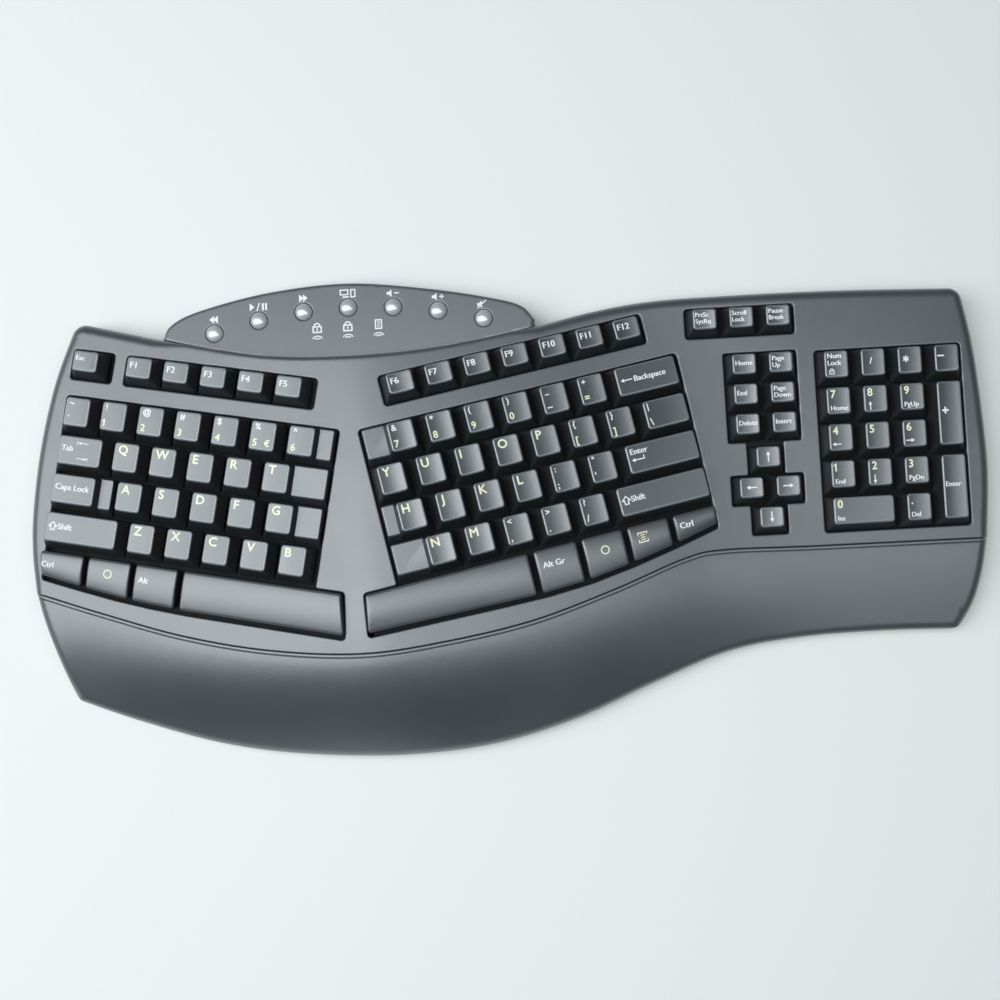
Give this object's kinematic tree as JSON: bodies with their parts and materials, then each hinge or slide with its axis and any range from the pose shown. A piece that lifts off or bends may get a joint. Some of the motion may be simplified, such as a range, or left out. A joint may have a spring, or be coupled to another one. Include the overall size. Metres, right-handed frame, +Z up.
{
  "type": "ergonomic split keyboard",
  "caption": "Split, tented keyboard with a wave-shaped palm rest, a number pad, a rear media panel with dome buttons and folding feet; rubber-dome keys travel in guides.",
  "frame": {"origin": "middle of the overall outline, on the plane of the rubber feet's undersides", "axes": "+X to the right along the key rows, +Y to the rear, +Z up from the desk"},
  "size_m": [0.4756, 0.236, 0.0427],
  "materials": {
    "case_plastic": "charcoal moulded plastic with a fine spark-eroded texture",
    "key_plastic": "near-black moulded plastic with a satin top",
    "frame_plastic": "black moulded plastic",
    "dome_rubber": "translucent silicone",
    "membrane_foil": "printed polyester foil",
    "backplate_steel": "zinc-plated sheet",
    "circuit_board": "green solder mask",
    "lens_plastic": "clear light pipe",
    "screw_steel": "zinc-plated",
    "foot_rubber": "matte black rubber",
    "button_plastic": "silver metallised plastic"
  },
  "bodies": {
    "case": {"top_cover": "case_plastic", "palm_rest": "case_plastic", "bottom_case": "case_plastic", "media_panel": "case_plastic", "key_frames": "frame_plastic", "dome_sheets": "dome_rubber", "membranes": "membrane_foil", "backplates": "backplate_steel", "controller_board": "circuit_board", "media_board": "circuit_board", "indicator_lenses": "lens_plastic", "case_screws": "screw_steel", "rubber_feet": "foot_rubber"},
    "left_folding_foot": {"left_folding_foot": "case_plastic"},
    "right_folding_foot": {"right_folding_foot": "case_plastic"},
    "escape_key": {"escape_key": "key_plastic"},
    "left_function_keys": {"left_function_keys": "key_plastic"},
    "left_number_keys": {"left_number_keys": "key_plastic"},
    "tab_key": {"tab_key": "key_plastic"},
    "left_upper_keys": {"left_upper_keys": "key_plastic"},
    "caps_lock_key": {"caps_lock_key": "key_plastic"},
    "left_home_keys": {"left_home_keys": "key_plastic"},
    "left_shift_key": {"left_shift_key": "key_plastic"},
    "left_lower_keys": {"left_lower_keys": "key_plastic"},
    "left_control_key": {"left_control_key": "key_plastic"},
    "left_system_key": {"left_system_key": "key_plastic"},
    "left_alt_key": {"left_alt_key": "key_plastic"},
    "left_space_bar": {"left_space_bar": "key_plastic"},
    "right_function_keys": {"right_function_keys": "key_plastic"},
    "right_number_keys": {"right_number_keys": "key_plastic"},
    "backspace_key": {"backspace_key": "key_plastic"},
    "right_upper_keys": {"right_upper_keys": "key_plastic"},
    "right_home_keys": {"right_home_keys": "key_plastic"},
    "enter_key": {"enter_key": "key_plastic"},
    "right_lower_keys": {"right_lower_keys": "key_plastic"},
    "right_shift_key": {"right_shift_key": "key_plastic"},
    "right_space_bar": {"right_space_bar": "key_plastic"},
    "right_alt_key": {"right_alt_key": "key_plastic"},
    "right_system_key": {"right_system_key": "key_plastic"},
    "menu_key": {"menu_key": "key_plastic"},
    "right_control_key": {"right_control_key": "key_plastic"},
    "print_keys": {"print_keys": "key_plastic"},
    "editing_keys": {"editing_keys": "key_plastic"},
    "up_arrow_key": {"up_arrow_key": "key_plastic"},
    "left_arrow_key": {"left_arrow_key": "key_plastic"},
    "down_arrow_key": {"down_arrow_key": "key_plastic"},
    "right_arrow_key": {"right_arrow_key": "key_plastic"},
    "number_pad_keys": {"number_pad_keys": "key_plastic"},
    "pad_plus_key": {"pad_plus_key": "key_plastic"},
    "pad_enter_key": {"pad_enter_key": "key_plastic"},
    "pad_zero_key": {"pad_zero_key": "key_plastic"},
    "previous_button": {"previous_button": "button_plastic"},
    "play_button": {"play_button": "button_plastic"},
    "next_button": {"next_button": "button_plastic"},
    "media_button": {"media_button": "button_plastic"},
    "volume_down_button": {"volume_down_button": "button_plastic"},
    "volume_up_button": {"volume_up_button": "button_plastic"},
    "mute_button": {"mute_button": "button_plastic"}
  },
  "joints": [
    {"name": "left_folding_foot_hinge", "type": "hinge", "parent": "case", "child": "left_folding_foot", "pos_m": [-0.1677, 0.076, 0.0029], "axis": [1, 0, 0], "range_deg": [0, 80]},
    {"name": "right_folding_foot_hinge", "type": "hinge", "parent": "case", "child": "right_folding_foot", "pos_m": [0.1737, 0.086, 0.0029], "axis": [1, 0, 0], "range_deg": [0, 80]},
    {"name": "escape_key_press", "type": "slide", "parent": "case", "child": "escape_key", "axis": [0.1149, -0.0312, -0.9929], "range_m": [0, 0.0033], "stiffness_N_per_m": 160, "springref_m": -0.0025, "deforming": ["dome_sheets"]},
    {"name": "left_function_keys_press", "type": "slide", "parent": "case", "child": "left_function_keys", "axis": [0.1149, -0.0312, -0.9929], "range_m": [0, 0.0033], "stiffness_N_per_m": 800, "springref_m": -0.0025, "deforming": ["dome_sheets"]},
    {"name": "left_number_keys_press", "type": "slide", "parent": "case", "child": "left_number_keys", "axis": [0.1149, -0.0312, -0.9929], "range_m": [0, 0.0033], "stiffness_N_per_m": 1120, "springref_m": -0.0025, "deforming": ["dome_sheets"]},
    {"name": "tab_key_press", "type": "slide", "parent": "case", "child": "tab_key", "axis": [0.1149, -0.0312, -0.9929], "range_m": [0, 0.0033], "stiffness_N_per_m": 160, "springref_m": -0.0025, "deforming": ["dome_sheets"]},
    {"name": "left_upper_keys_press", "type": "slide", "parent": "case", "child": "left_upper_keys", "axis": [0.1149, -0.0312, -0.9929], "range_m": [0, 0.0033], "stiffness_N_per_m": 800, "springref_m": -0.0025, "deforming": ["dome_sheets"]},
    {"name": "caps_lock_key_press", "type": "slide", "parent": "case", "child": "caps_lock_key", "axis": [0.1149, -0.0312, -0.9929], "range_m": [0, 0.0033], "stiffness_N_per_m": 160, "springref_m": -0.0025, "deforming": ["dome_sheets"]},
    {"name": "left_home_keys_press", "type": "slide", "parent": "case", "child": "left_home_keys", "axis": [0.1149, -0.0312, -0.9929], "range_m": [0, 0.0033], "stiffness_N_per_m": 800, "springref_m": -0.0025, "deforming": ["dome_sheets"]},
    {"name": "left_shift_key_press", "type": "slide", "parent": "case", "child": "left_shift_key", "axis": [0.1149, -0.0312, -0.9929], "range_m": [0, 0.0033], "stiffness_N_per_m": 160, "springref_m": -0.0025, "deforming": ["dome_sheets"]},
    {"name": "left_lower_keys_press", "type": "slide", "parent": "case", "child": "left_lower_keys", "axis": [0.1149, -0.0312, -0.9929], "range_m": [0, 0.0033], "stiffness_N_per_m": 800, "springref_m": -0.0025, "deforming": ["dome_sheets"]},
    {"name": "left_control_key_press", "type": "slide", "parent": "case", "child": "left_control_key", "axis": [0.1149, -0.0312, -0.9929], "range_m": [0, 0.0033], "stiffness_N_per_m": 160, "springref_m": -0.0025, "deforming": ["dome_sheets"]},
    {"name": "left_system_key_press", "type": "slide", "parent": "case", "child": "left_system_key", "axis": [0.1149, -0.0312, -0.9929], "range_m": [0, 0.0033], "stiffness_N_per_m": 160, "springref_m": -0.0025, "deforming": ["dome_sheets"]},
    {"name": "left_alt_key_press", "type": "slide", "parent": "case", "child": "left_alt_key", "axis": [0.1149, -0.0312, -0.9929], "range_m": [0, 0.0033], "stiffness_N_per_m": 160, "springref_m": -0.0025, "deforming": ["dome_sheets"]},
    {"name": "left_space_bar_press", "type": "slide", "parent": "case", "child": "left_space_bar", "axis": [0.1149, -0.0312, -0.9929], "range_m": [0, 0.0033], "stiffness_N_per_m": 160, "springref_m": -0.0025, "deforming": ["dome_sheets"]},
    {"name": "right_function_keys_press", "type": "slide", "parent": "case", "child": "right_function_keys", "axis": [-0.1149, -0.0312, -0.9929], "range_m": [0, 0.0033], "stiffness_N_per_m": 1120, "springref_m": -0.0025, "deforming": ["dome_sheets"]},
    {"name": "right_number_keys_press", "type": "slide", "parent": "case", "child": "right_number_keys", "axis": [-0.1149, -0.0312, -0.9929], "range_m": [0, 0.0033], "stiffness_N_per_m": 960, "springref_m": -0.0025, "deforming": ["dome_sheets"]},
    {"name": "backspace_key_press", "type": "slide", "parent": "case", "child": "backspace_key", "axis": [-0.1149, -0.0312, -0.9929], "range_m": [0, 0.0033], "stiffness_N_per_m": 160, "springref_m": -0.0025, "deforming": ["dome_sheets"]},
    {"name": "right_upper_keys_press", "type": "slide", "parent": "case", "child": "right_upper_keys", "axis": [-0.1149, -0.0312, -0.9929], "range_m": [0, 0.0033], "stiffness_N_per_m": 1280, "springref_m": -0.0025, "deforming": ["dome_sheets"]},
    {"name": "right_home_keys_press", "type": "slide", "parent": "case", "child": "right_home_keys", "axis": [-0.1149, -0.0312, -0.9929], "range_m": [0, 0.0033], "stiffness_N_per_m": 960, "springref_m": -0.0025, "deforming": ["dome_sheets"]},
    {"name": "enter_key_press", "type": "slide", "parent": "case", "child": "enter_key", "axis": [-0.1149, -0.0312, -0.9929], "range_m": [0, 0.0033], "stiffness_N_per_m": 160, "springref_m": -0.0025, "deforming": ["dome_sheets"]},
    {"name": "right_lower_keys_press", "type": "slide", "parent": "case", "child": "right_lower_keys", "axis": [-0.1149, -0.0312, -0.9929], "range_m": [0, 0.0033], "stiffness_N_per_m": 800, "springref_m": -0.0025, "deforming": ["dome_sheets"]},
    {"name": "right_shift_key_press", "type": "slide", "parent": "case", "child": "right_shift_key", "axis": [-0.1149, -0.0312, -0.9929], "range_m": [0, 0.0033], "stiffness_N_per_m": 160, "springref_m": -0.0025, "deforming": ["dome_sheets"]},
    {"name": "right_space_bar_press", "type": "slide", "parent": "case", "child": "right_space_bar", "axis": [-0.1149, -0.0312, -0.9929], "range_m": [0, 0.0033], "stiffness_N_per_m": 160, "springref_m": -0.0025, "deforming": ["dome_sheets"]},
    {"name": "right_alt_key_press", "type": "slide", "parent": "case", "child": "right_alt_key", "axis": [-0.1149, -0.0312, -0.9929], "range_m": [0, 0.0033], "stiffness_N_per_m": 160, "springref_m": -0.0025, "deforming": ["dome_sheets"]},
    {"name": "right_system_key_press", "type": "slide", "parent": "case", "child": "right_system_key", "axis": [-0.1149, -0.0312, -0.9929], "range_m": [0, 0.0033], "stiffness_N_per_m": 160, "springref_m": -0.0025, "deforming": ["dome_sheets"]},
    {"name": "menu_key_press", "type": "slide", "parent": "case", "child": "menu_key", "axis": [-0.1149, -0.0312, -0.9929], "range_m": [0, 0.0033], "stiffness_N_per_m": 160, "springref_m": -0.0025, "deforming": ["dome_sheets"]},
    {"name": "right_control_key_press", "type": "slide", "parent": "case", "child": "right_control_key", "axis": [-0.1149, -0.0312, -0.9929], "range_m": [0, 0.0033], "stiffness_N_per_m": 160, "springref_m": -0.0025, "deforming": ["dome_sheets"]},
    {"name": "print_keys_press", "type": "slide", "parent": "case", "child": "print_keys", "axis": [0, 0.0314, -0.9995], "range_m": [0, 0.0033], "stiffness_N_per_m": 480, "springref_m": -0.0025, "deforming": ["dome_sheets"]},
    {"name": "editing_keys_press", "type": "slide", "parent": "case", "child": "editing_keys", "axis": [0, 0.0314, -0.9995], "range_m": [0, 0.0033], "stiffness_N_per_m": 960, "springref_m": -0.0025, "deforming": ["dome_sheets"]},
    {"name": "up_arrow_key_press", "type": "slide", "parent": "case", "child": "up_arrow_key", "axis": [0, 0.0314, -0.9995], "range_m": [0, 0.0033], "stiffness_N_per_m": 160, "springref_m": -0.0025, "deforming": ["dome_sheets"]},
    {"name": "left_arrow_key_press", "type": "slide", "parent": "case", "child": "left_arrow_key", "axis": [0, 0.0314, -0.9995], "range_m": [0, 0.0033], "stiffness_N_per_m": 160, "springref_m": -0.0025, "deforming": ["dome_sheets"]},
    {"name": "down_arrow_key_press", "type": "slide", "parent": "case", "child": "down_arrow_key", "axis": [0, 0.0314, -0.9995], "range_m": [0, 0.0033], "stiffness_N_per_m": 160, "springref_m": -0.0025, "deforming": ["dome_sheets"]},
    {"name": "right_arrow_key_press", "type": "slide", "parent": "case", "child": "right_arrow_key", "axis": [0, 0.0314, -0.9995], "range_m": [0, 0.0033], "stiffness_N_per_m": 160, "springref_m": -0.0025, "deforming": ["dome_sheets"]},
    {"name": "number_pad_keys_press", "type": "slide", "parent": "case", "child": "number_pad_keys", "axis": [0, 0.0314, -0.9995], "range_m": [0, 0.0033], "stiffness_N_per_m": 2240, "springref_m": -0.0025, "deforming": ["dome_sheets"]},
    {"name": "pad_plus_key_press", "type": "slide", "parent": "case", "child": "pad_plus_key", "axis": [0, 0.0314, -0.9995], "range_m": [0, 0.0033], "stiffness_N_per_m": 160, "springref_m": -0.0025, "deforming": ["dome_sheets"]},
    {"name": "pad_enter_key_press", "type": "slide", "parent": "case", "child": "pad_enter_key", "axis": [0, 0.0314, -0.9995], "range_m": [0, 0.0033], "stiffness_N_per_m": 160, "springref_m": -0.0025, "deforming": ["dome_sheets"]},
    {"name": "pad_zero_key_press", "type": "slide", "parent": "case", "child": "pad_zero_key", "axis": [0, 0.0314, -0.9995], "range_m": [0, 0.0033], "stiffness_N_per_m": 160, "springref_m": -0.0025, "deforming": ["dome_sheets"]},
    {"name": "previous_button_press", "type": "slide", "parent": "case", "child": "previous_button", "axis": [0, 0, -1], "range_m": [0, 0.0012], "stiffness_N_per_m": 400, "springref_m": -0.002},
    {"name": "play_button_press", "type": "slide", "parent": "case", "child": "play_button", "axis": [0, 0, -1], "range_m": [0, 0.0012], "stiffness_N_per_m": 400, "springref_m": -0.002},
    {"name": "next_button_press", "type": "slide", "parent": "case", "child": "next_button", "axis": [0, 0, -1], "range_m": [0, 0.0012], "stiffness_N_per_m": 400, "springref_m": -0.002},
    {"name": "media_button_press", "type": "slide", "parent": "case", "child": "media_button", "axis": [0, 0, -1], "range_m": [0, 0.0012], "stiffness_N_per_m": 400, "springref_m": -0.002},
    {"name": "volume_down_button_press", "type": "slide", "parent": "case", "child": "volume_down_button", "axis": [0, 0, -1], "range_m": [0, 0.0012], "stiffness_N_per_m": 400, "springref_m": -0.002},
    {"name": "volume_up_button_press", "type": "slide", "parent": "case", "child": "volume_up_button", "axis": [0, 0, -1], "range_m": [0, 0.0012], "stiffness_N_per_m": 400, "springref_m": -0.002},
    {"name": "mute_button_press", "type": "slide", "parent": "case", "child": "mute_button", "axis": [0, 0, -1], "range_m": [0, 0.0012], "stiffness_N_per_m": 400, "springref_m": -0.002}
  ]
}
